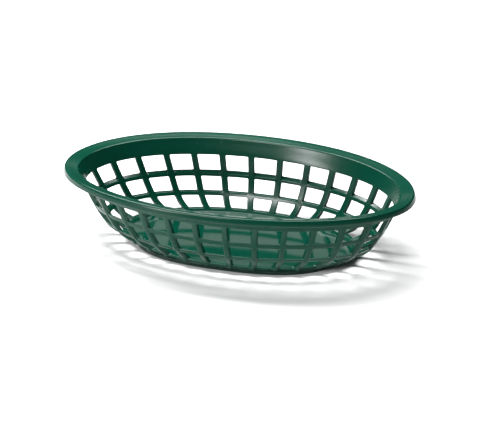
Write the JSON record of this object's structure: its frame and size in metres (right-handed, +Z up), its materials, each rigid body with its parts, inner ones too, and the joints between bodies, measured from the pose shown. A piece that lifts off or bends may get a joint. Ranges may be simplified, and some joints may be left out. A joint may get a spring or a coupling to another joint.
{
  "type": "fast food basket",
  "caption": "Oval open-sided serving basket in glossy green plastic, with a flanged rim, a ribbed and hooped wall, a flat floor and a foot ring.",
  "frame": {"origin": "middle of the foot ring, on the surface that the basket stands on", "axes": "+X along the long axis of the oval, +Y along the short axis, +Z up out of the open top"},
  "size_m": [0.2414, 0.127, 0.0508],
  "materials": {
    "green_plastic": "glossy moulded polypropylene, dark green, fine moulding texture"
  },
  "bodies": {
    "root": {"rim_flange": "green_plastic", "upper_band": "green_plastic", "upper_hoop": "green_plastic", "lower_hoop": "green_plastic", "base_ledge": "green_plastic", "foot_ring": "green_plastic", "floor_plate": "green_plastic", "rib_01": "green_plastic", "rib_02": "green_plastic", "rib_03": "green_plastic", "rib_04": "green_plastic", "rib_05": "green_plastic", "rib_06": "green_plastic", "rib_07": "green_plastic", "rib_08": "green_plastic", "rib_09": "green_plastic", "rib_10": "green_plastic", "rib_11": "green_plastic", "rib_12": "green_plastic", "rib_13": "green_plastic", "rib_14": "green_plastic", "rib_15": "green_plastic", "rib_16": "green_plastic", "rib_17": "green_plastic", "rib_18": "green_plastic", "rib_19": "green_plastic", "rib_20": "green_plastic", "rib_21": "green_plastic", "rib_22": "green_plastic", "rib_23": "green_plastic", "rib_24": "green_plastic", "rib_25": "green_plastic", "rib_26": "green_plastic", "rib_27": "green_plastic", "rib_28": "green_plastic"}
  },
  "joints": []
}
